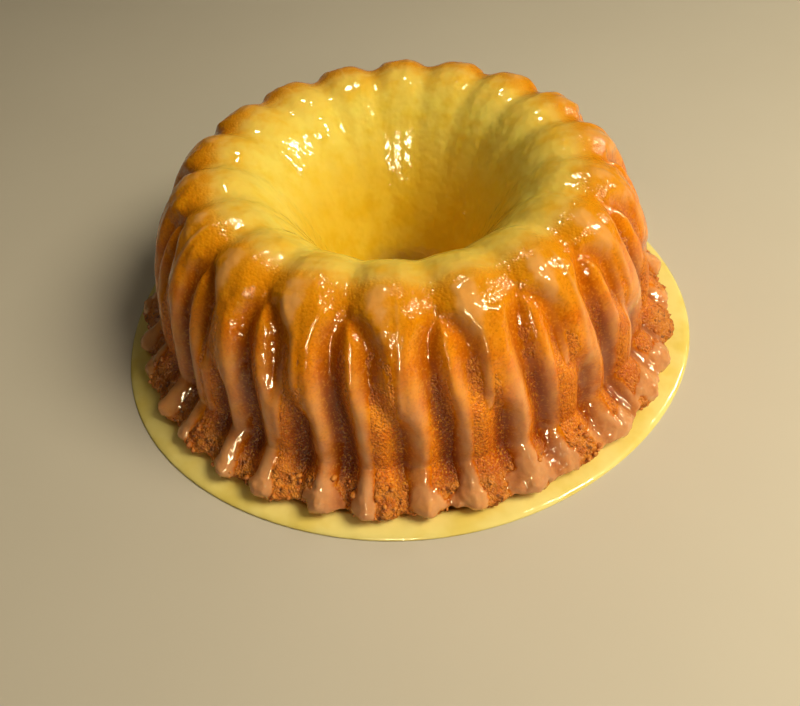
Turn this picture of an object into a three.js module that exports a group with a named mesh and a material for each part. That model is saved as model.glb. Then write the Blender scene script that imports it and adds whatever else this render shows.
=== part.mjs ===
// A ring-shaped bundt cake, turned out of a fluted tube pan and standing on its wide foot.
//
// Eighteen grooves leave the crest and fork on the shoulder, each into a main groove and a branch. A narrow
// rib starts in the fork, and the branch bends away on the wall, so that thirty-six ribs of about equal width
// reach the flared, scalloped foot. The funnel in the middle narrows into a hole that goes right through.
// Millimetres, +Z up, with the origin at the centre of the flat underside.

import * as THREE from "three";
import { mergeVertices } from "three/addons/utils/BufferGeometryUtils.js";

const { clamp, lerp, smoothstep, degToRad } = THREE.MathUtils;

// Driving dimensions, measured over the ribs
const cakeHeight = 82; // to the top of the crest
const crestRadius = 78; // of the ring along which the crest is highest
const wallRadius = 114; // where the wall would reach the underside if there were no foot
const wallSpring = 4.5; // height at which the wall stands upright, before it leans in to the crest
const footRadius = 128;
const footHeight = 20; // of the flared band at the foot
const footUndercut = 4; // how far the bottom edge is drawn in
const holeRadius = 23; // of the hole at the underside

// Fluting, in degrees: one pitch holds a narrow rib, between a main groove and its branch, and a broad lobe.
// Both grooves start at the fork, and their places are measured from it.
const lobeCount = 18;
const lobePitch = 360 / lobeCount;
const firstFork = 5; // round from the front, -Y
const mainAngles = { crest: 0, shoulder: -2.3, wall: 0.8 };
const branchAngles = { crest: 2, shoulder: 6.5, wall: 12 };

// Depth of the grooves below the ribs
const mainDepth = { foot: 3, wall: 5, shoulder: 5, crest: 3, funnel: 0.6 };
const branchDepth = { foot: 2.5, wall: 4.4, bend: 2.5, shoulder: 4 };
const narrowRibSunk = 1.4; // how much lower the narrow rib lies in the fork than the lobes beside it
const flankReach = { wall: 5, crest: 8.5 }; // degrees over which a groove's side rises to the rib

// Unevenness of a real cake
const crestSag = 1.6; // how much lower the crest is in its lowest places
const footWander = 2.6; // how much further in the foot is in its narrowest places
const depthWander = 0.14; // how much the grooves' depth varies, as a share of it

// Fineness of the surface
const columnsInRib = 5; // steps across each rib, so that every groove lies on an edge of the mesh
const rowsOnWall = 12;
const rowsInFunnel = 8;

// Rows of the surface, each a circle round the axis, from the underside's rim to the hole's rim
function footRows() {
  const profile = new THREE.SplineCurve([
    new THREE.Vector2(footRadius - footUndercut, 0),
    new THREE.Vector2(footRadius, 0.33 * footHeight),
    new THREE.Vector2(lerp(wallRadius, footRadius, 0.6), 0.65 * footHeight),
    new THREE.Vector2(wallAt(footHeight).x, footHeight),
  ]);
  return profile.getPoints(5).map((p) => ({ radius: p.x, height: p.y, inFunnel: false }));
}

// The wall and the shoulder are one quarter of an ellipse, upright below and level at the crest
function wallPoint(turn) {
  const radius = crestRadius + (wallRadius - crestRadius) * Math.cos(turn);
  const height = wallSpring + (cakeHeight - wallSpring) * Math.sin(turn);
  return new THREE.Vector2(radius, height);
}

function wallAt(height) {
  return wallPoint(Math.asin((height - wallSpring) / (cakeHeight - wallSpring)));
}

function wallRows() {
  const firstTurn = Math.asin((footHeight - wallSpring) / (cakeHeight - wallSpring));
  const rows = [];
  for (let i = 1; i <= rowsOnWall; i++) {
    const p = wallPoint(lerp(firstTurn, Math.PI / 2, i / rowsOnWall));
    rows.push({ radius: p.x, height: p.y, inFunnel: false });
  }
  return rows;
}

// The funnel leaves the crest level, steepens, and ends at the hole
function funnelRows() {
  const curve = new THREE.CubicBezierCurve(
    new THREE.Vector2(crestRadius, cakeHeight),
    new THREE.Vector2(0.67 * crestRadius, cakeHeight),
    new THREE.Vector2(0.51 * crestRadius, 0.61 * cakeHeight),
    new THREE.Vector2(holeRadius, 0),
  );
  const points = curve.getSpacedPoints(rowsInFunnel).slice(1);
  return points.map((p) => ({ radius: p.x, height: p.y, inFunnel: true }));
}

// How far along its way up from low to high a height is, eased at both ends
function rise(height, low, high) {
  return smoothstep(height, low * cakeHeight, high * cakeHeight);
}

// The main groove leans back from the fork and returns on its long way down the wall
function mainAngle(row) {
  if (row.inFunnel) return mainAngles.crest;
  const leaning = lerp(mainAngles.wall, mainAngles.shoulder, rise(row.height, 0.33, 0.84));
  return lerp(leaning, mainAngles.crest, rise(row.height, 0.84, 0.985));
}

// The branch leaves the fork, and half-way down, where it is shallow, it bends further away. Inside the
// crest there is no branch, and the columns even out.
function branchAngle(row) {
  if (row.inFunnel) return lobePitch / 2;
  const bent = lerp(branchAngles.wall, branchAngles.shoulder, rise(row.height, 0.45, 0.68));
  return lerp(bent, branchAngles.crest, rise(row.height, 0.84, 0.985));
}

function mainGroove(row) {
  if (row.inFunnel) {
    const onCrest = smoothstep(row.radius, 0.6 * crestRadius, crestRadius);
    const inThroat = smoothstep(row.radius, holeRadius, 0.6 * crestRadius);
    return lerp(mainDepth.funnel * inThroat, mainDepth.crest, onCrest);
  }
  const low = lerp(mainDepth.foot, mainDepth.wall, rise(row.height, 0.08, 0.28));
  const high = lerp(low, mainDepth.shoulder, rise(row.height, 0.5, 0.75));
  return lerp(high, mainDepth.crest, rise(row.height, 0.86, 0.99));
}

function branchGroove(row) {
  if (row.inFunnel) return 0;
  const low = lerp(branchDepth.foot, branchDepth.wall, rise(row.height, 0.08, 0.28));
  const middle = lerp(low, branchDepth.bend, rise(row.height, 0.4, 0.56));
  const high = lerp(middle, branchDepth.shoulder, rise(row.height, 0.58, 0.76));
  return lerp(high, 0, rise(row.height, 0.92, 0.99));
}

// The narrow rib is level with the lobes on the wall, and sinks into the fork on the shoulder
function narrowRibDepth(row) {
  if (row.inFunnel) return 0;
  return narrowRibSunk * rise(row.height, 0.6, 0.85) * (1 - rise(row.height, 0.94, 0.99));
}

// The flank of a groove: 1 in the groove, and 0 where the rib beside it is level
function flank(distance, reach) {
  return Math.pow(0.5 + 0.5 * Math.cos(Math.PI * clamp(distance / reach, 0, 1)), 1.3);
}

// How far the surface lies below the ribs' own level, at so many degrees from the main groove. Where the two
// grooves overlap in the fork, the deeper one counts, rounded off.
function relief(row, angle) {
  const split = branchAngle(row) - mainAngle(row);
  const softened = row.inFunnel ? 1 : rise(row.height, 0.93, 0.995);
  const reach = lerp(flankReach.wall, flankReach.crest, softened);
  const fromBranch = Math.abs(angle - split);
  const main = mainGroove(row) * flank(Math.min(angle, lobePitch - angle), reach);
  const branch = branchGroove(row) * flank(Math.min(fromBranch, lobePitch - fromBranch), flankReach.wall);
  const grooves = Math.pow(Math.pow(main, 4) + Math.pow(branch, 4), 0.25);
  return grooves + narrowRibDepth(row) * flank(Math.abs(angle - split / 2), 0.75 * split);
}

// A slow wave round the ring, from 0 to 1. Its count is a whole number, so that it meets itself.
function wave(azimuth, count, start) {
  return 0.5 + 0.5 * Math.sin(count * azimuth + start);
}

// One vertex: the row's own place, pressed in along the surface's normal by the relief
function shapedPoint(row, column) {
  const lobe = Math.floor(column / (2 * columnsInRib));
  const step = column - lobe * 2 * columnsInRib;
  const split = branchAngle(row) - mainAngle(row);
  const alongRib = (step % columnsInRib) / columnsInRib;
  const angle = step < columnsInRib ? alongRib * split : lerp(split, lobePitch, alongRib);
  const azimuth = degToRad(firstFork + lobe * lobePitch + mainAngle(row) + angle);
  const uneven = 1 - depthWander * (wave(azimuth, 5, 0.7) + wave(azimuth, 11, 2.1) - 1);
  const depth = relief(row, angle) * uneven;
  const inwards = depth * row.normal.x;
  const wander = row.inFunnel ? 0 : footWander * (1 - rise(row.height, 0.12, 0.3));
  const radius = row.radius - inwards - wander * (0.6 * wave(azimuth, 4, 0.9) + 0.4 * wave(azimuth, 14, 0.4));
  const sag = (crestSag * row.height * wave(azimuth, 2, 0.6)) / cakeHeight;
  const height = row.height === 0 ? 0 : row.height - depth * row.normal.y - sag;
  return new THREE.Vector3(radius * Math.sin(azimuth), -radius * Math.cos(azimuth), height);
}

// The section's outward normal in each row, from the rows on either side
function addNormals(rows) {
  rows.forEach((row, i) => {
    const below = rows[Math.max(i - 1, 0)];
    const above = rows[Math.min(i + 1, rows.length - 1)];
    row.normal = new THREE.Vector2(above.height - below.height, below.radius - above.radius).normalize();
  });
  return rows;
}

// The closed skin: every row is a ring of vertices, and the last ring is joined to the first by the underside
function ringGeometry(rows) {
  const columns = 2 * columnsInRib * lobeCount;
  const positions = [];
  const indices = [];
  rows.forEach((row, i) => {
    const next = (i + 1) % rows.length;
    for (let column = 0; column < columns; column++) {
      positions.push(...shapedPoint(row, column).toArray());
      const beside = (column + 1) % columns;
      const [a, b] = [i * columns + column, i * columns + beside];
      const [c, d] = [next * columns + beside, next * columns + column];
      indices.push(a, b, c, a, c, d);
    }
  });
  const geometry = new THREE.BufferGeometry();
  geometry.setAttribute("position", new THREE.Float32BufferAttribute(positions, 3));
  geometry.setIndex(indices);
  return mergeVertices(geometry);
}

// Moves the geometry sideways so that its box is centred on the axis
function centred(geometry) {
  geometry.computeBoundingBox();
  const centre = geometry.boundingBox.getCenter(new THREE.Vector3());
  return geometry.translate(-centre.x, -centre.y, 0);
}

function cake() {
  const rows = addNormals([...footRows(), ...wallRows(), ...funnelRows()]);
  const crust = new THREE.MeshStandardMaterial({ color: 0xc9781f, roughness: 0.55, metalness: 0 });
  const mesh = new THREE.Mesh(centred(ringGeometry(rows)), crust);
  mesh.name = "cake";
  return mesh;
}

const bundtCake = new THREE.Group();
bundtCake.name = "bundt_cake";
bundtCake.add(cake());

export default bundtCake;
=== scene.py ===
import math
import random

import bmesh
import bpy
import numpy as np
from mathutils import Matrix, Vector, noise


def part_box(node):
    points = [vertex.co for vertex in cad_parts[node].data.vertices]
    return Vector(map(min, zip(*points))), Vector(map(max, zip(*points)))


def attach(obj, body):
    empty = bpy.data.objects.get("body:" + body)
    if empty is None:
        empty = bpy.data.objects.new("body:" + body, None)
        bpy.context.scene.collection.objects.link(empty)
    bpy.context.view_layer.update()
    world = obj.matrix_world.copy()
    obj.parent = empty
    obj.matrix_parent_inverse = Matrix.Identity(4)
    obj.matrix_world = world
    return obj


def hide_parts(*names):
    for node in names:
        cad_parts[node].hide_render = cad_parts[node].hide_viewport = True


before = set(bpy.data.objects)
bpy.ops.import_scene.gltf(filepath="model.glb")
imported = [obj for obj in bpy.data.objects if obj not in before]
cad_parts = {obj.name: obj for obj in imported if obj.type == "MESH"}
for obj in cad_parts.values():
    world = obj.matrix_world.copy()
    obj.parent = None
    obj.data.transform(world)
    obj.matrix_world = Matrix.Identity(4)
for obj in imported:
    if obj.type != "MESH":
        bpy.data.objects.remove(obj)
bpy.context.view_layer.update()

scene = bpy.context.scene
cakeLow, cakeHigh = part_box("cake")
tall = cakeHigh.z
halfWide = (cakeHigh.x - cakeLow.x) / 2
mm = 0.001
print("frame loaded, cake", round(2 * halfWide, 4), "wide and", round(tall, 4), "tall")


# the cake's form: the solid's own section and flutes, worked out for whole arrays of vertices at once

form = {
    "crestRadius": 0.62 * halfWide,
    "wallRadius": 0.906 * halfWide,
    "wallSpring": 0.055 * tall,
    "footRadius": 1.017 * halfWide,
    "footHeight": 0.244 * tall,
    "footUndercut": 0.032 * halfWide,
    "holeRadius": 0.183 * halfWide,
    "lobes": 18,
    "firstFork": 5.0,  # degrees round from the front
    "narrowRibSunk": 1.4 * mm,
    "crestSag": 1.6 * mm,
    "footWander": 2.6 * mm,
    "depthWander": 0.14,
}
pitch = 360 / form["lobes"]
mainGroove = {"foot": 3.0, "wall": 5.0, "shoulder": 5.0, "crest": 3.0, "funnel": 0.6}  # depths in mm
branchGroove = {"foot": 2.5, "wall": 4.4, "bend": 2.5, "shoulder": 4.0}
mainTurns = {"wall": 0.8, "shoulder": -2.3, "crest": 0.0}  # degrees round from the fork
branchTurns = {"wall": 12.0, "shoulder": 6.5, "crest": 2.0}
flankReach = {"wall": 5.0, "crest": 8.5}  # degrees over which a groove's side rises to the rib


def ease(x, low, high):
    t = np.clip((x - low) / (high - low), 0, 1)
    return t * t * (3 - 2 * t)


def mixed(a, b, t):
    return a + (b - a) * t


def wallPoint(turn):
    radius = form["crestRadius"] + (form["wallRadius"] - form["crestRadius"]) * math.cos(turn)
    return radius, form["wallSpring"] + (tall - form["wallSpring"]) * math.sin(turn)


def wallTurn(height):
    return math.asin((height - form["wallSpring"]) / (tall - form["wallSpring"]))


def curveThrough(points, steps):  # a smooth curve through every point
    ends = [points[0], *points, points[-1]]
    path = [points[0]]
    for before, a, b, after in zip(ends, ends[1:], ends[2:], ends[3:]):
        for i in range(1, steps + 1):
            t = i / steps
            pull = (b - before) / 2
            push = (after - a) / 2
            path.append((2 * a - 2 * b + pull + push) * t ** 3
                        + (3 * b - 3 * a - 2 * pull - push) * t ** 2 + pull * t + a)
    return path


def footPath(steps):
    shelf = mixed(form["wallRadius"], form["footRadius"], 0.6)
    return curveThrough([
        Vector((form["footRadius"] - form["footUndercut"], 0.0)),
        Vector((form["footRadius"], 0.33 * form["footHeight"])),
        Vector((shelf, 0.65 * form["footHeight"])),
        Vector(wallPoint(wallTurn(form["footHeight"]))),
    ], steps)


def wallPath(steps):
    first = wallTurn(form["footHeight"])
    return [Vector(wallPoint(mixed(first, math.pi / 2, i / steps))) for i in range(1, steps + 1)]


def funnelPath(steps):
    a = Vector((form["crestRadius"], tall))
    b = Vector((0.67 * form["crestRadius"], tall))
    c = Vector((0.51 * form["crestRadius"], 0.61 * tall))
    d = Vector((form["holeRadius"], 0))
    path = []
    for i in range(1, steps + 1):
        t = i / steps
        path.append((1 - t) ** 3 * a + 3 * (1 - t) ** 2 * t * b + 3 * (1 - t) * t ** 2 * c + t ** 3 * d)
    return path


class Section:  # rows of the surface, from the bottom edge of the foot up over the crest and down to the hole
    def __init__(self, footSteps, wallSteps, funnelSteps, underside=False):
        outside = footPath(footSteps) + wallPath(wallSteps)
        path = outside + funnelPath(funnelSteps)
        if underside:
            path += [Vector((form["holeRadius"] + 1.5 * mm, 0)), Vector((0.94 * form["footRadius"], 0))]
        self.points = np.array(path)
        self.radius, self.height = self.points.T
        self.count = len(self.points)
        self.inFunnel = np.arange(self.count) >= len(outside)
        steps = np.hypot(*np.diff(self.points, axis=0).T)
        travelled = np.concatenate([[0], np.cumsum(steps)])
        # metres down from the crest along the surface, and below 0 in the funnel
        self.down = travelled[len(outside) - 1] - travelled
        along = np.gradient(self.points, axis=0)
        along /= np.hypot(*along.T)[:, None]
        self.out, self.up = along[:, 1], -along[:, 0]  # the outward normal


def wave(azimuth, count, start):
    return 0.5 + 0.5 * np.sin(count * azimuth + start)


def rise(z, low, high):
    return ease(z, low * tall, high * tall)


def grooveDepths(r, z, inFunnel):
    d = mainGroove
    outside = mixed(mixed(d["foot"], d["wall"], rise(z, 0.08, 0.28)), d["shoulder"], rise(z, 0.5, 0.75))
    outside = mixed(outside, d["crest"], rise(z, 0.86, 0.99))
    onCrest = ease(r, 0.6 * form["crestRadius"], form["crestRadius"])
    inThroat = ease(r, form["holeRadius"], 0.6 * form["crestRadius"])
    main = np.where(inFunnel, mixed(d["funnel"] * inThroat, d["crest"], onCrest), outside) * mm
    d = branchGroove
    low = mixed(mixed(d["foot"], d["wall"], rise(z, 0.08, 0.28)), d["bend"], rise(z, 0.4, 0.56))
    branch = mixed(mixed(low, d["shoulder"], rise(z, 0.58, 0.76)), 0.0, rise(z, 0.92, 0.99)) * mm
    rib = form["narrowRibSunk"] * rise(z, 0.6, 0.85) * (1 - rise(z, 0.94, 0.99))
    return main, np.where(inFunnel, 0.0, branch), np.where(inFunnel, 0.0, rib)


def flank(distance, reach):  # 1 in the groove, and 0 where the rib beside it is level
    return (0.5 + 0.5 * np.cos(math.pi * np.clip(distance / reach, 0, 1))) ** 1.3


def relief(azimuth, r, z, inFunnel):  # how far the surface lies below the ribs' own level
    main, branch, rib = grooveDepths(r, z, inFunnel)
    leaning = mixed(mainTurns["wall"], mainTurns["shoulder"], rise(z, 0.33, 0.84))
    mainAt = np.where(inFunnel, 0.0, mixed(leaning, mainTurns["crest"], rise(z, 0.84, 0.985)))
    bent = mixed(branchTurns["wall"], branchTurns["shoulder"], rise(z, 0.45, 0.68))
    split = mixed(bent, branchTurns["crest"], rise(z, 0.84, 0.985)) - mainAt
    angle = np.mod(np.degrees(azimuth) - form["firstFork"] - mainAt, pitch)
    toMain = np.minimum(angle, pitch - angle)
    toBranch = np.abs(angle - split)
    toBranch = np.minimum(toBranch, pitch - toBranch)
    onWall, onCrest = flankReach["wall"], flankReach["crest"]
    mainReach = np.where(inFunnel, onCrest, mixed(onWall, onCrest, rise(z, 0.93, 0.995)))
    overlapping = (main * flank(toMain, mainReach)) ** 4 + (branch * flank(toBranch, onWall)) ** 4
    depth = overlapping ** 0.25 + rib * flank(np.abs(angle - split / 2), 0.75 * split)
    uneven = 1 - form["depthWander"] * (wave(azimuth, 5, 0.7) + wave(azimuth, 11, 2.1) - 1)
    return depth * uneven


def cakeSurface(section, rows, azimuth, proud=0.0, filled=0.0):  # filled is the share of each groove's depth
    r, z, inFunnel = section.radius[rows], section.height[rows], section.inFunnel[rows]
    depth = relief(azimuth, r, z, inFunnel) * (1 - filled)
    wavy = 0.6 * wave(azimuth, 4, 0.9) + 0.4 * wave(azimuth, 14, 0.4)
    wander = form["footWander"] * (1 - rise(z, 0.12, 0.3)) * wavy
    sag = form["crestSag"] * z / tall * wave(azimuth, 2, 0.6)
    radius = r + (proud - depth) * section.out[rows] - np.where(inFunnel, 0.0, wander)
    height = z + (proud - depth) * section.up[rows] - sag
    onFloor = z < 0.001 * mm
    return radius, np.where(onFloor, 0.0, np.maximum(height, 0.0)), depth


def placed(radius, azimuth, height):  # azimuth runs from the front, -Y, towards the right
    return np.stack([radius * np.sin(azimuth), -radius * np.cos(azimuth), height], axis=-1)


cutsInStep = 15  # cuts across every step of a spin, which are far quicker than as many steps


def spunRing(path, columns, closed=True):  # a section spun round the axis, with its row on every vertex
    bm = bmesh.new()
    rowLayer = bm.verts.layers.float.new("row")
    verts = [bm.verts.new((0, -r, z)) for r, z in path]
    for i, v in enumerate(verts):
        v[rowLayer] = i
    pairs = list(zip(verts, verts[1:])) + ([(verts[-1], verts[0])] if closed else [])
    edges = [bm.edges.new(pair) for pair in pairs]
    bmesh.ops.spin(bm, geom=verts + edges, cent=(0, 0, 0), axis=(0, 0, 1), angle=2 * math.pi,
                   steps=columns // (cutsInStep + 1), use_merge=True)
    hoops = [e for e in bm.edges if round(e.verts[0][rowLayer]) == round(e.verts[1][rowLayer])]
    bmesh.ops.subdivide_edges(bm, edges=hoops, cuts=cutsInStep, use_grid_fill=True)
    return bm


def rowAndAzimuth(bm):
    rowLayer = bm.verts.layers.float["row"]
    rows = np.rint([v[rowLayer] for v in bm.verts]).astype(int)
    x, y = np.array([v.co[:2] for v in bm.verts]).T
    return rows, np.arctan2(x, -y)


def placeVertices(bm, points):
    for v, point in zip(bm.verts, points):
        v.co = point
    bmesh.ops.recalc_face_normals(bm, faces=bm.faces)


def keepValues(bm, name, values):
    layer = bm.verts.layers.float.new(name)
    for v, value in zip(bm.verts, values):
        v[layer] = value


def makePiece(bm, name, body="root"):
    mesh = bpy.data.meshes.new(name)
    for face in bm.faces:
        face.smooth = True
    bm.to_mesh(mesh)
    bm.free()
    piece = bpy.data.objects.new(name, mesh)
    scene.collection.objects.link(piece)
    print(name, "made,", sum(len(p.vertices) - 2 for p in mesh.polygons), "triangles")
    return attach(piece, body)


def lumpiness(points, size, octaves):  # fractal noise, from about -1 to 1, with lumps of this size in metres
    return np.array([noise.fractal(p, 0.7, 2.1, octaves) for p in (points / size).tolist()])


# the baked crust: the whole form again, with the grain of the crumb and the torn lumps of the foot band

crust = {
    "columns": 800,
    "rows": (15, 54, 20),  # on the foot, on the wall and in the funnel
    "grain": 0.16 * mm,  # how far the crumb stands up and down on the wall
    "grainSize": 2.2 * mm,
    "lumps": 1.0 * mm,  # the same on the foot band
    "lumpSize": 3.6 * mm,
    "smallLumpSize": 1.7 * mm,
    "cracks": 1.1 * mm,
    "crackSize": 7 * mm,
    "bandTop": 84 * mm,  # where the torn band begins, measured down from the crest
    "bandWaver": 3 * mm,
    "bandBlend": 4 * mm,
}


def bandShare(down, azimuth):  # 1 on the torn foot band, whose upper edge wavers
    edge = crust["bandTop"] + crust["bandWaver"] * (wave(azimuth, 9, 1.0) + wave(azimuth, 23, 2.0) - 1)
    return ease(down, edge - crust["bandBlend"], edge + crust["bandBlend"])


def crustGrain(points, down, azimuth):  # how far the crumb stands proud, with none on the flat underside
    band = bandShare(down, azimuth)
    lumps = lumpiness(points, crust["lumpSize"], 3) + 0.4 * lumpiness(points, crust["smallLumpSize"], 2)
    elsewhere = points + [3.0, 0, 0]  # so that the cracks don't follow the lumps
    cracks = 1 - ease(np.abs(lumpiness(elsewhere, crust["crackSize"], 2)), 0, 0.13)
    fine = lumpiness(points, crust["grainSize"], 2) * ease(down, 4 * mm, 20 * mm)
    grain = (1 - band) * crust["grain"] * fine + band * (crust["lumps"] * lumps - crust["cracks"] * cracks)
    return np.where(points[:, 2] > 0.5 * mm, grain, 0)


def makeCrust():
    section = Section(*crust["rows"], underside=True)
    bm = spunRing(section.points, crust["columns"])
    rows, azimuth = rowAndAzimuth(bm)
    down = section.down[rows]
    radius, height, depth = cakeSurface(section, rows, azimuth)
    grain = crustGrain(placed(radius, azimuth, height), down, azimuth)
    radius, height, depth = cakeSurface(section, rows, azimuth, grain)
    placeVertices(bm, placed(radius, azimuth, height))
    keepValues(bm, "down", down / mm)
    keepValues(bm, "groove", depth / mm)
    keepValues(bm, "band", bandShare(down, azimuth))
    piece = makePiece(bm, "crust")
    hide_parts("cake")
    return piece


# the glaze: a wet skin in the funnel and over the crest, and below it runs with bare crust between them

glaze = {
    "columns": 800,
    "rows": (9, 38, 11),  # on the foot, on the wall and in the funnel
    "filled": 0.3,  # share of the grooves' depth that it fills in the funnel
    "funnel": 1.5 * mm,  # thickness
    "crest": 0.35 * mm,
    "shoulder": 0.2 * mm,
    "patch": 0.6 * mm,  # the pale thicker patch on one side of every broad lobe
    "skin": 0.9 * mm,  # how far the closed skin reaches below the surface
    "filmEnd": 38 * mm,  # where the film between the runs gives out, measured down from the crest
    "filmDrop": 1.6 * mm,  # how far it sinks below the crust there
    "bareBelow": -0.2 * mm,  # thickness under which it is left out
    "broadRun": 0.5 * mm,
    "narrowRun": 0.55 * mm,
    "rivulet": 0.55 * mm,
    "rivulets": 2,  # on every lobe
    "blob": 2.2 * mm,
    "runReach": 12,  # mm to either side of its middle that a run can touch
    "blobReach": 16,
    "seed": 271,
    # degrees from each fork to the foot of the run on its broad lobe, from the rear left round to the right
    "broadFeet": {-5: 17, -4: 17.5, -3: 16.5, -2: 17, -1: 15, 0: 15.5, 1: 13.5, 2: 12, 3: 13},
    # the same for the run on its narrow rib
    "narrowFeet": {-4: 5, -3: 5, -2: 5.5, -1: 4.8, 0: 4.0, 1: 2.2, 2: 1.6, 3: 0},
    # lumps of set glaze at the foot: degrees round from the front, half width and height in mm, share of blob
    "feetLumps": [(-58, 5, 5, 0.8), (-50.5, 5, 5, 0.8), (-38, 5, 6, 0.8), (-29.5, 6.5, 6, 0.9),
                  (-18, 8.5, 7, 1), (-10.5, 6, 6, 0.8), (0.5, 7, 6.5, 0.8), (8.5, 7.5, 6.5, 0.9),
                  (19.5, 10, 8, 1), (26, 9, 9, 1.1), (38, 9, 8, 0.9), (44, 8, 8, 1), (54, 12, 9, 1.1),
                  (61, 9, 9, 1)],
    "lumpsByHand": (-62, 68),  # degrees round between which there are no others
}


def broadRun(near, fork, chance):  # a run's path in mm down and degrees round, with its half widths in mm
    foot = glaze["broadFeet"].get(near, 15.5 + chance.uniform(-1.5, 1.5))
    top = mixed(foot, 14, 0.6)
    return {
        "downs": [3, 15, 35, 55, 68, 80, 96],
        "turns": [fork + top - 2, fork + top, fork + top + chance.uniform(-0.4, 0.4),
                  fork + mixed(top, foot, 0.5), fork + mixed(top, foot, 0.8),
                  fork + foot + chance.uniform(-0.3, 0.3), fork + foot],
        "widths": [3.5, 6.0, 6.0, chance.uniform(4.5, 7.0), chance.uniform(4.5, 6.8),
                   chance.uniform(4.0, 5.4), 5.0],
        "thick": glaze["broadRun"] * chance.uniform(0.85, 1.15),
        "starts": (20, 44),
        "end": chance.uniform(88, 95),
    }


def narrowRun(near, fork, chance):
    foot = glaze["narrowFeet"].get(near, 4.2 + chance.uniform(-0.8, 0.8))
    return {
        "downs": [6, 20, 35, 50, 75, 96],
        "turns": [fork + 1.5, fork + 2.4, fork + mixed(2.8, foot, 0.4), fork + mixed(2.8, foot, 0.9),
                  fork + foot + chance.uniform(-0.4, 0.4), fork + foot],
        "widths": [1.8, 3.4, 3.6, 3.3, chance.uniform(3.0, 4.0), 4.0],
        "thick": glaze["narrowRun"] * chance.uniform(0.85, 1.15),
        "starts": (16, 46),
        "end": chance.uniform(86, 95),
    }


def rivulet(fork, chance):  # a thin short run, anywhere on the lobe
    top, bottom = chance.uniform(-14, 12), chance.uniform(40, 78)
    turn, lean = fork + chance.uniform(5, 16), chance.uniform(-1.0, 1.4)
    return {
        "downs": [top, mixed(top, bottom, 0.5), bottom],
        "turns": [turn, turn + 0.5 * lean + chance.uniform(-0.4, 0.4), turn + lean],
        "widths": [1.2, chance.uniform(1.6, 2.4), 1.8],
        "thick": glaze["rivulet"] * chance.uniform(0.7, 1.2),
        "starts": (top, top + 8),
        "end": bottom,
    }


def runsOnLobes():
    runs = []
    for lobe in range(form["lobes"]):
        near = lobe if lobe <= form["lobes"] / 2 else lobe - form["lobes"]  # below 0 on the left
        fork = form["firstFork"] + near * pitch
        chance = random.Random(glaze["seed"] + near)
        runs.append(broadRun(near, fork, chance))
        runs.append(narrowRun(near, fork, chance))
        for i in range(glaze["rivulets"]):
            runs.append(rivulet(fork, chance))
    return runs


def turnBetween(a, b):  # degrees, the short way round
    return np.mod(a - b + 180, 360) - 180


def allFeetLumps(runs):  # those at the front are listed, and the rest follow the runs
    lumps = list(glaze["feetLumps"])
    left, right = glaze["lumpsByHand"]
    for run in runs:
        turn = run["turns"][-1]
        if not left < turnBetween(turn, 0) < right and run["end"] > 80:
            chance = random.Random(round(turn * 10))
            lumps.append((turn, chance.uniform(5, 9), chance.uniform(5, 8), chance.uniform(0.6, 1)))
    return lumps


def smoothMax(a, b, soft):  # the larger, with the crease between them rounded off
    h = np.clip(0.5 + 0.5 * (b - a) / soft, 0, 1)
    return mixed(a, b, h) + soft * h * (1 - h)


def sideways(degrees, centre, radius):  # mm round the cake from the middle of a run or a lump
    return turnBetween(degrees, centre) * math.pi / 180 * radius / mm


def filmThickness(below, degrees, patchy, uneven):
    film = np.interp(below, [-12, -2, 8, 28], [glaze["funnel"], glaze["crest"], glaze["shoulder"],
                                               0.8 * glaze["shoulder"]])
    inPitch = np.mod(degrees - form["firstFork"], pitch)
    onPatch = np.exp(-((inPitch - 8.3) / 3.2) ** 2) * ease(below, -2, 5) * (1 - ease(below, 14, 30))
    film = film + glaze["patch"] * onPatch * (1 + 0.6 * patchy)
    end = glaze["filmEnd"] / mm + 16 * patchy + 6 * uneven
    return film * (1 + 0.35 * uneven * ease(below, -12, 0)) - glaze["filmDrop"] * ease(below, end - 8, end + 8)


def glazeThickness(radius, down, azimuth, points):
    degrees = np.degrees(azimuth)
    below = down / mm
    patchy = lumpiness(points, 14 * mm, 3)
    uneven = lumpiness(points, 5 * mm, 3)
    knobbly = lumpiness(points, 4 * mm, 2)
    thick = filmThickness(below, degrees, patchy, uneven)
    runs = runsOnLobes()
    for run in runs:
        across = np.abs(sideways(degrees, np.interp(below, run["downs"], run["turns"]), radius))
        near = across < glaze["runReach"]
        width = np.interp(below[near], run["downs"], run["widths"]) * (1 + 0.18 * uneven[near])
        beyond = np.maximum(below[near] - run["end"], 0)
        d = np.hypot(across[near], beyond * 1.2) / width
        rising = ease(below[near], *run["starts"])
        height = run["thick"] * rising * (1 + 0.25 * uneven[near]) * (1 - np.minimum(d, 1.6) ** 2)
        height = height * (1 + 1.4 * bandShare(down[near], azimuth[near]))
        thick[near] = smoothMax(thick[near], height, 0.3 * mm)
    for turn, wide, high, share in allFeetLumps(runs):
        across = sideways(degrees, turn, radius)
        along = below - 93
        near = (np.abs(across) < glaze["blobReach"]) & (np.abs(along) < glaze["blobReach"])
        d = np.hypot(across[near] / wide, along[near] / high) * (1 + 0.3 * uneven[near])
        height = glaze["blob"] * share * (1 - np.minimum(d, 1.5) ** 2) * (1 + 0.5 * knobbly[near])
        thick[near] = smoothMax(thick[near], height, 0.8 * mm)
    return thick


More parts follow.
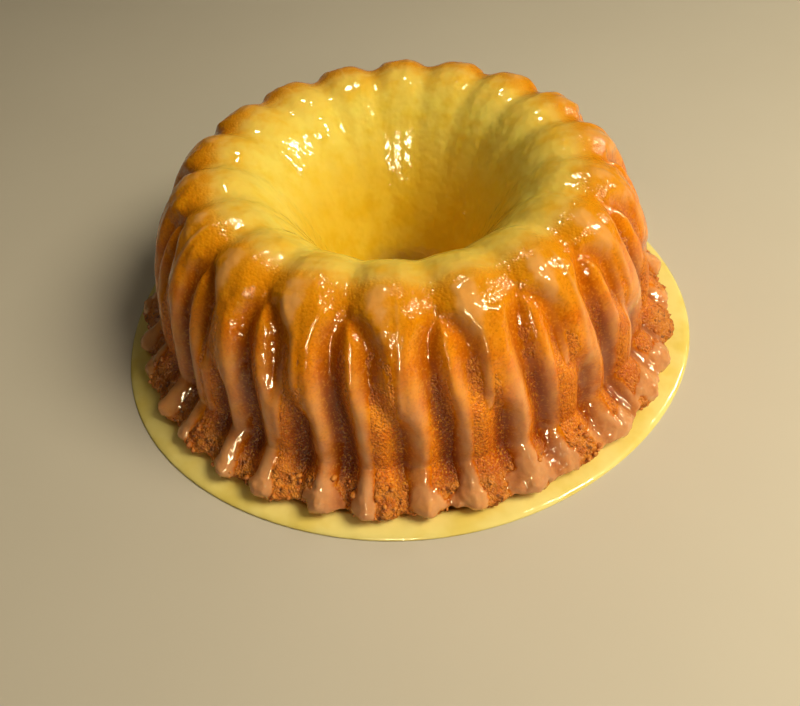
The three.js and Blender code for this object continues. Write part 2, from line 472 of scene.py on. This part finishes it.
def giveThickness(bm, section, skin):  # the sheet itself is turned over and pushed in, below its copy
    rowLayer = bm.verts.layers.float["row"]
    inner = bm.faces[:]
    bmesh.ops.extrude_face_region(bm, geom=inner, use_keep_orig=True)
    bmesh.ops.reverse_faces(bm, faces=inner)
    for v in {v for face in inner for v in face.verts}:
        row = round(v[rowLayer])
        aside = Vector((v.co.x, v.co.y, 0)).normalized() * section.out[row]
        v.co -= skin * (aside + Vector((0, 0, section.up[row])))
        v.co.z = max(v.co.z, 0.05 * mm)


def makeGlaze():
    section = Section(*glaze["rows"])
    bm = spunRing(section.points, glaze["columns"], closed=False)
    rows, azimuth = rowAndAzimuth(bm)
    down = section.down[rows]
    filled = glaze["filled"] * (1 - ease(down, -14 * mm, 6 * mm))
    radius, height, depth = cakeSurface(section, rows, azimuth, 0, filled)
    points = placed(radius, azimuth, height)
    thick = glazeThickness(radius, down, azimuth, points)
    # where the glaze is thin the grain shows through, and where it ends it dips below the torn crumb
    grain = crustGrain(points, down, azimuth) * np.exp(-1.1 * np.maximum(thick / mm, 0))
    sunk = np.maximum(thick, -0.5 * mm) * (1 + 4 * bandShare(down, azimuth))
    proud = np.where(thick < 0, sunk, thick) + grain
    radius, height, depth = cakeSurface(section, rows, azimuth, proud, filled)
    height = np.maximum(height, 0.2 * mm)  # clear of the floor
    placeVertices(bm, placed(radius, azimuth, height))
    keepValues(bm, "thick", thick / mm)
    keepValues(bm, "down", down / mm)
    keepValues(bm, "groove", depth / mm)
    thickLayer = bm.verts.layers.float["thick"]
    bareBelow = glaze["bareBelow"] / mm
    bare = [f for f in bm.faces if max(v[thickLayer] for v in f.verts) < bareBelow]
    bmesh.ops.delete(bm, geom=bare, context="FACES")
    giveThickness(bm, section, glaze["skin"])
    piece = makePiece(bm, "glaze")
    return piece


# the glaze that ran off and set round the foot

pool = {
    "columns": 480,
    "reach": 5.5 * mm,  # beyond the foot, more on one side
    "uneven": 3.5 * mm,
    "thick": 1.7 * mm,
    # its section from under the foot outwards: shares of its width and of its thickness
    "section": [(0, 0.75), (0.2, 1), (0.45, 1), (0.65, 0.97), (0.8, 0.88), (0.9, 0.7), (0.96, 0.45), (1, 0.16),
                (0.985, 0), (0.5, 0)],
}


def makePool():
    inner = form["footRadius"] - form["footUndercut"] - 3 * mm
    rowCount = len(pool["section"])
    bm = spunRing([Vector((inner + i * mm, 0)) for i in range(rowCount)], pool["columns"])
    rows, azimuth = rowAndAzimuth(bm)
    wavy = 0.6 * np.sin(3 * azimuth + 4.2) + 0.2 * np.sin(5 * azimuth + 1.0)
    reach = pool["reach"] + pool["uneven"] * wavy
    share, top = np.array(pool["section"])[rows].T
    radius = mixed(inner, form["footRadius"] + reach, share)
    points = placed(radius, azimuth, top * pool["thick"])
    points[:, 2] *= 1 + 0.16 * lumpiness(points, 9 * mm, 2)
    placeVertices(bm, points)
    piece = makePiece(bm, "glazePool")
    return piece


# loose and clinging crumbs round the foot

crumbs = {
    "count": 300,
    "smallest": 0.5 * mm,
    "largest": 1.5 * mm,
    "between": (82 * mm, 98 * mm),  # measured down from the crest
    "seed": 58,
}


def makeCrumbs():
    chance = random.Random(crumbs["seed"])
    section = Section(*crust["rows"])
    upper, lower = crumbs["between"]
    band = [i for i in range(section.count) if upper < section.down[i] < lower]
    bm = bmesh.new()
    for i in range(crumbs["count"]):
        size = mixed(crumbs["smallest"], crumbs["largest"], chance.random() ** 2.2)  # most are small
        turn = np.array([chance.uniform(0, 2 * math.pi)])
        row = np.array([chance.choice(band)])
        radius, height, depth = cakeSurface(section, row, turn, 0.25 * size)
        place = Vector(placed(radius, turn, height)[0])
        lump = bmesh.ops.create_icosphere(bm, subdivisions=1, radius=size)["verts"]
        spread = Vector([chance.uniform(0.7, 1.25) for axis in range(3)])
        for v in lump:
            v.co = v.co * chance.uniform(0.75, 1.2)
            v.co = Vector(a * b for a, b in zip(v.co, spread)) + place
            v.co.z = max(v.co.z, 0.1 * mm)
    piece = makePiece(bm, "crumbs")
    return piece


# shader maths: a value wraps a socket, and the operators add Math nodes

class Value:
    def __init__(self, finish, socket):
        self.finish = finish
        self.socket = socket

    def maths(self, operation, *others):
        return self.finish.node("Math", {"operation": operation}, dict(enumerate(others)))

    def __add__(self, other):
        return self.maths("ADD", self, other)

    def __radd__(self, other):
        return self.maths("ADD", other, self)

    def __sub__(self, other):
        return self.maths("SUBTRACT", self, other)

    def __rsub__(self, other):
        return self.maths("SUBTRACT", other, self)

    def __mul__(self, other):
        return self.maths("MULTIPLY", self, other)

    def __rmul__(self, other):
        return self.maths("MULTIPLY", other, self)

    def between(self, low, high):  # 0 below low, 1 above high, eased in between
        settings = {"interpolation_type": "SMOOTHSTEP"}
        return self.finish.node("MapRange", settings, {"Value": self, "From Min": low, "From Max": high})


class Finish:  # a material, with one method that adds any node
    def __init__(self, name, **constants):
        self.material = bpy.data.materials.new(name)
        self.material.use_nodes = True
        self.nodes = self.material.node_tree.nodes
        self.shader = self.nodes["Principled BSDF"]
        for socket, value in constants.items():
            self.shader.inputs[socket.replace("_", " ")].default_value = value
        self.place = self.node("TexCoord", {}, {}, "Object")

    def join(self, value, socket):
        if isinstance(value, Value):
            self.material.node_tree.links.new(value.socket, socket)
        elif isinstance(value, tuple) and len(value) == 3 and len(getattr(socket, "default_value", ())) == 4:
            socket.default_value = (*value, 1)
        else:
            socket.default_value = value

    def node(self, kind, settings, sockets, output=0):
        made = self.nodes.new("ShaderNode" + kind)
        for key, value in settings.items():
            setattr(made, key, value)
        for key, value in sockets.items():
            self.join(value, made.inputs[key])
        return Value(self, made.outputs[output])

    def kept(self, name):
        return self.node("Attribute", {"attribute_name": name}, {}, "Fac")

    def mottle(self, scale, detail=2.0):
        return self.node("TexNoise", {}, {"Vector": self.place, "Scale": scale, "Detail": detail}, "Fac")

    def cells(self, scale):
        return self.node("TexVoronoi", {}, {"Vector": self.place, "Scale": scale}, "Distance")

    def colours(self, a, b, share):
        return self.node("Mix", {"data_type": "RGBA"}, {0: share, 6: a, 7: b}, 2)

    def bump(self, height, strength, distance, over=None):
        sockets = {"Height": height, "Strength": strength, "Distance": distance}
        if over:
            sockets["Normal"] = over
        return self.node("Bump", {}, sockets, "Normal")

    def drive(self, **sockets):
        for socket, value in sockets.items():
            self.join(value, self.shader.inputs[socket.replace("_", " ")])
        return self.material


def linear(level):  # from the 0 to 255 of a colour picker to the shader's own scale
    return level / 255 / 12.92 if level < 10.3 else ((level / 255 + 0.055) / 1.055) ** 2.4


def colour(red, green, blue):
    return tuple(linear(level) for level in (red, green, blue))


# the baked colours, with painted shade in the grooves and deep in the funnel, and then those of the glaze;
# down, groove and thick are kept in mm on the vertices

bakeAndShade = {
    # painted shade: the darker gold deep in the funnel, towards the hole
    "shadedThroat": colour(222, 180, 36),
    "funnel": colour(240, 220, 104),
    "funnelDeep": colour(230, 194, 60),
    "rim": colour(238, 188, 64),
    "crest": colour(224, 144, 12),
    "wall": colour(238, 140, 5),
    "wallDark": colour(222, 114, 2),
    # a darker brown, laid in patches towards the bottom of the wall
    "lowWallBrown": colour(188, 88, 3),
    # painted shade in the flutes: a darker orange in shallow grooves and dark brown in deep ones low on the
    # wall
    "shallowGrooveShade": colour(200, 104, 6),
    "groove": colour(124, 44, 1),
    "foot": colour(212, 134, 44),
    "footDark": colour(184, 98, 24),
    "pit": colour(96, 42, 8),
    "paleGrain": colour(250, 176, 52),
    "darkGrain": colour(150, 66, 4),
}


def crustColourAndShade(finish, grain):  # grain is how strongly the crumb's pale and dark specks show; the colour also holds painted shade in the grooves and deep in the funnel
    down = finish.kept("down")
    groove = finish.kept("groove")
    # darker gold down towards the hole: painted shade of the funnel's depth
    shadedThroat = finish.colours(bakeAndShade["shadedThroat"], bakeAndShade["funnel"], down.between(-70, -14))
    streaky = finish.mottle(90, 5).between(0.36, 0.62)
    base = finish.colours(shadedThroat, bakeAndShade["funnelDeep"], streaky * 0.8)
    base = finish.colours(base, bakeAndShade["rim"], down.between(-26, -8))
    base = finish.colours(base, bakeAndShade["crest"], down.between(-12, 4))
    mottled = finish.colours(bakeAndShade["wall"], bakeAndShade["wallDark"], finish.mottle(120, 5).between(0.35, 0.7))
    # patches of darker brown towards the bottom of the wall
    patchy = down.between(40, 85) * finish.mottle(50, 4).between(0.3, 0.62)
    mottled = finish.colours(mottled, bakeAndShade["lowWallBrown"], patchy * 0.85)
    base = finish.colours(base, mottled, down.between(4, 38))
    # painted shade in the flutes: the deeper the groove the darker, and darker still down the wall
    grooveShade = finish.colours(bakeAndShade["shallowGrooveShade"], bakeAndShade["groove"], down.between(14, 56))
    base = finish.colours(base, grooveShade, groove.between(1.2, 4.4) * down.between(-3, 22) * 0.86)
    grains = finish.mottle(1000, 2)
    specks = down.between(-4, 24) * grain
    base = finish.colours(base, bakeAndShade["paleGrain"], grains.between(0.52, 0.68) * specks)
    return finish.colours(base, bakeAndShade["darkGrain"], (1 - grains.between(0.34, 0.46)) * specks)


def crustFinish():
    finish = Finish("bakedCrust", Specular_IOR_Level=0.3)
    band = finish.kept("band")
    crumb = finish.cells(1100)
    fine = finish.mottle(1500, 3)
    base = crustColourAndShade(finish, 0.45)
    foot = finish.colours(bakeAndShade["foot"], bakeAndShade["footDark"], finish.mottle(260, 4).between(0.4, 0.65))
    base = finish.colours(base, foot, band * 0.85)
    pits = finish.mottle(420, 3).between(0.56, 0.68) * (0.35 + 0.65 * band)
    base = finish.colours(base, bakeAndShade["pit"], pits * 0.8)
    bumped = finish.bump(0.6 * fine - crumb, 0.7, 0.0009)
    bumped = finish.bump(finish.mottle(420, 3), 0.5, 0.0011, bumped)
    rough = 0.5 - 0.2 * finish.mottle(700, 2)
    return finish.drive(Base_Color=base, Roughness=rough, Normal=bumped)


pour = {
    "funnel": colour(242, 220, 116),
    "crest": colour(232, 172, 54),
    "veil": colour(232, 200, 154),
    "mostCover": 0.52,  # how much the glaze hides at its thickest
    "funnelCover": 0.45,
    "poolPale": colour(242, 228, 144),
    "poolShade": colour(232, 212, 112),
}


def glazeFinish():
    finish = Finish("setGlaze", Specular_IOR_Level=0.35, Subsurface_Weight=0.3,
                    Subsurface_Radius=(1.0, 0.6, 0.3), Subsurface_Scale=0.003)
    down = finish.kept("down")
    thick = finish.kept("thick")
    onOutside = down.between(-8, 8)
    cover = thick.between(0.06, 0.75) * (0.45 + 0.6 * finish.mottle(140, 3)) * pour["mostCover"]
    # less of the pale veil in deep grooves, so that they read darker: painted shade
    cover = cover * (1 - 0.7 * finish.kept("groove").between(1.2, 4.2))
    cover = cover * (0.66 + 0.34 * down.between(30, 70))
    # the milky veil in the funnel fades out towards the hole, which leaves it darker there: painted shade
    milky = pour["funnelCover"] * down.between(-75, -15) * finish.mottle(110, 4).between(0.3, 0.6)
    cover = cover * onOutside + milky * (1 - onOutside)
    onWall = down.between(12, 48)
    paler = onWall + (1 - onWall) * thick.between(0.4, 0.75)
    tint = finish.colours(pour["crest"], pour["veil"], paler)
    tint = finish.colours(pour["funnel"], tint, onOutside)
    thinly = 1 - thick.between(0.2, 0.8)
    base = finish.colours(crustColourAndShade(finish, 0.1 + 0.2 * thinly), tint, cover)
    grainy = thinly * down.between(-14, -2)
    crusty = grainy * (1.3 - down.between(2, 26))
    bumped = finish.bump(1 - finish.cells(900), 0.02 + 0.28 * crusty, 0.0007)
    bumped = finish.bump(finish.mottle(210, 1), 0.4, 0.0014, bumped)
    knobbly = 0.7 * thick.between(1.0, 1.8) * onOutside
    bumped = finish.bump(finish.mottle(260, 1), knobbly, 0.0012, bumped)
    rough = 0.05 + 0.03 * grainy
    return finish.drive(Base_Color=base, Roughness=rough, Normal=bumped)


def poolFinish():
    finish = Finish("setPool", IOR=1.46)
    base = finish.colours(pour["poolPale"], pour["poolShade"], finish.mottle(60, 3).between(0.35, 0.7))
    bumped = finish.bump(finish.mottle(80, 2), 0.3, 0.002)
    return finish.drive(Base_Color=base, Roughness=0.1 + 0.1 * finish.mottle(200), Normal=bumped)


def crumbFinish():
    finish = Finish("looseCrumb")
    base = finish.colours(bakeAndShade["foot"], bakeAndShade["footDark"], finish.mottle(300, 3).between(0.35, 0.65))
    return finish.drive(Base_Color=base, Roughness=0.5 + 0.2 * finish.mottle(900),
                        Normal=finish.bump(finish.mottle(1500, 2), 0.5, 0.0005))


crustPiece = makeCrust()
glazePiece = makeGlaze()
poolPiece = makePool()
crumbPiece = makeCrumbs()
crustPiece.data.materials.append(crustFinish())
glazePiece.data.materials.append(glazeFinish())
poolPiece.data.materials.append(poolFinish())
crumbPiece.data.materials.append(crumbFinish())
print("materials made")


# a pale floor, soft light from above on the right, and a camera looking down on the front

studio = {
    "floorHalf": 1.6,
    "floorDrop": 0.2 * mm,  # so that the floor isn't in the same plane as the underside
    "floorPale": colour(200, 196, 188),
    "floorShade": colour(194, 189, 180),
    # soft lamps: place, size, power and colour
    "lamps": {
        "key": ((0.76, -0.24, 0.95), (0.6, 0.6), 16.0, (1.0, 0.86, 0.58)),
        "top": ((-0.25, -0.15, 1.3), (0.5, 0.5), 0.9, (1.0, 0.84, 0.56)),
        "fill": ((0.68, -0.95, 0.6), (0.6, 0.6), 2.6, (1.0, 0.82, 0.62)),
    },
    # lamps seen only as glints on the wet glaze
    "glints": {
        "strip": ((0.62, -0.3, 0.85), (0.04, 0.3), 9.0, (1.0, 0.83, 0.48)),
        "front": ((-0.1, -1.0, 0.5), (0.03, 0.6), 10.0, (1.0, 0.83, 0.48)),
        "side": ((0.95, 0.25, 0.6), (0.04, 0.4), 9.0, (1.0, 0.86, 0.56)),
        "high": ((0.1, 0.5, 1.1), (0.1, 0.1), 5.0, (1.0, 0.86, 0.56)),
    },
    "lampAim": (0, 0, 0.04),
    "sky": (0.9, 0.7, 0.44),
    "skyStrength": 0.02,
    "cameraPitch": 48.385,  # degrees up from straight down
    "cameraRoll": -4.486,
    "cameraAim": (-0.00399, -0.0377, 0.0),
    "cameraDistance": 0.32535,
    "lens": 31.5,
    "sensor": 36,
}


def floorFinish():
    finish = Finish("paleFloor")
    base = finish.colours(studio["floorPale"], studio["floorShade"], finish.mottle(8, 3))
    return finish.drive(Base_Color=base, Roughness=0.55 + 0.1 * finish.mottle(30))


def makeFloor():
    bm = bmesh.new()
    bmesh.ops.create_grid(bm, x_segments=1, y_segments=1, size=studio["floorHalf"])
    bmesh.ops.translate(bm, vec=(0, 0, -studio["floorDrop"]), verts=bm.verts)
    mesh = bpy.data.meshes.new("floor")
    bm.to_mesh(mesh)
    bm.free()
    floor = bpy.data.objects.new("floor", mesh)
    scene.collection.objects.link(floor)
    mesh.materials.append(floorFinish())


def addLamp(name, place, size, power, warmth, glint):
    lamp = bpy.data.lights.new(name, "AREA")
    lamp.shape = "ELLIPSE"
    lamp.size, lamp.size_y = size
    lamp.energy = power
    lamp.color = warmth
    light = bpy.data.objects.new(name, lamp)
    scene.collection.objects.link(light)
    light.location = place
    light.visible_glossy = glint
    light.visible_diffuse = not glint
    light.rotation_euler = (Vector(studio["lampAim"]) - light.location).to_track_quat("-Z", "Y").to_euler()


def addCamera():
    tilt = math.radians(studio["cameraPitch"])
    roll = math.radians(studio["cameraRoll"])
    right = Vector((1, 0, 0))
    up = Vector((0, math.sin(tilt), math.cos(tilt)))
    back = Vector((0, -math.cos(tilt), math.sin(tilt)))
    turnedRight = right * math.cos(roll) + up * math.sin(roll)
    turnedUp = up * math.cos(roll) - right * math.sin(roll)
    place = Vector(studio["cameraAim"]) + back * studio["cameraDistance"]
    camera = bpy.data.objects.new("camera", bpy.data.cameras.new("camera"))
    camera.data.lens = studio["lens"]
    camera.data.sensor_width = studio["sensor"]
    scene.collection.objects.link(camera)
    camera.matrix_world = Matrix((turnedRight, turnedUp, back)).transposed().to_4x4()
    camera.location = place
    scene.camera = camera


def addSky():
    world = bpy.data.worlds.new("studio")
    world.use_nodes = True
    background = world.node_tree.nodes["Background"]
    background.inputs["Color"].default_value = (*studio["sky"], 1)
    background.inputs["Strength"].default_value = studio["skyStrength"]
    scene.world = world


makeFloor()
for name, values in studio["lamps"].items():
    addLamp(name, *values, glint=False)
for name, values in studio["glints"].items():
    addLamp(name, *values, glint=True)
addCamera()
addSky()
scene.view_settings.view_transform = "Standard"
print("floor, lights and camera set")
